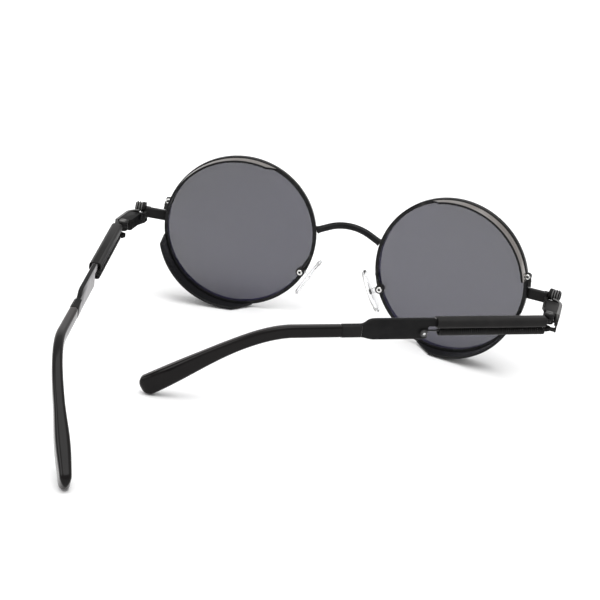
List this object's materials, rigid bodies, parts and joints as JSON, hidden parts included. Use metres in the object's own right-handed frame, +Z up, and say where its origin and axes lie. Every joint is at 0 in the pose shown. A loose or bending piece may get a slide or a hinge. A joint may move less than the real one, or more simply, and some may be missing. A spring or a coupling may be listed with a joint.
{
  "type": "round metal sunglasses",
  "caption": "Round metal sunglasses with curved side shields, knobbed end pieces, sprung hinged temples, clear rocking nose pads and black plastic tips.",
  "frame": {"origin": "on the table the glasses stand on, midway between the two lens centres", "axes": "+X to the wearer's right, +Y forward away from the face, +Z up from the table"},
  "size_m": [0.1408, 0.1379, 0.0497],
  "materials": {
    "black_metal": "satin black plating",
    "smoke_lens": "polished smoke-grey tint",
    "bright_steel": "bright",
    "clear_pad": "clear soft plastic, glossy",
    "black_tip": "polished black"
  },
  "bodies": {
    "front": {"bridge": "black_metal", "left_rim": "black_metal", "right_rim": "black_metal", "left_lens": "smoke_lens", "right_lens": "smoke_lens", "left_upper_shield": "black_metal", "right_upper_shield": "black_metal", "left_lower_shield": "black_metal", "right_lower_shield": "black_metal", "left_end_piece": "black_metal", "right_end_piece": "black_metal", "left_knob": "black_metal", "right_knob": "black_metal", "left_rim_screw": "bright_steel", "right_rim_screw": "bright_steel", "left_pad_arm": "black_metal", "right_pad_arm": "black_metal", "left_pad_screw": "bright_steel", "right_pad_screw": "bright_steel", "left_hinge_screw": "black_metal", "right_hinge_screw": "black_metal"},
    "right_pad": {"right_nose_pad": "clear_pad"},
    "left_pad": {"left_nose_pad": "clear_pad"},
    "right_arm": {"right_temple": "black_metal", "right_sleeve": "black_metal", "right_spring": "black_metal", "right_spring_screw": "bright_steel", "right_temple_tip": "black_tip", "right_core_wire": "bright_steel"},
    "left_arm": {"left_temple": "black_metal", "left_sleeve": "black_metal", "left_spring": "black_metal", "left_spring_screw": "bright_steel", "left_temple_tip": "black_tip", "left_core_wire": "bright_steel"}
  },
  "joints": [
    {"name": "right_temple_hinge", "type": "hinge", "parent": "front", "child": "right_arm", "pos_m": [0.06752, -0.01915, 0.02625], "axis": [0, 0, -1], "range_deg": [-59.7, 28.3]},
    {"name": "left_temple_hinge", "type": "hinge", "parent": "front", "child": "left_arm", "pos_m": [-0.06752, -0.01915, 0.02625], "axis": [0, 0, 1], "range_deg": [-15.1, 30.9]},
    {"name": "right_pad_rock", "type": "hinge", "parent": "front", "child": "right_pad", "pos_m": [0.01324, 0.00063, 0.01544], "axis": [0, 0.999, -0.0454], "range_deg": [-6, 6]},
    {"name": "left_pad_rock", "type": "hinge", "parent": "front", "child": "left_pad", "pos_m": [-0.01324, 0.00063, 0.01544], "axis": [0, 0.999, -0.0454], "range_deg": [-6, 6]}
  ]
}
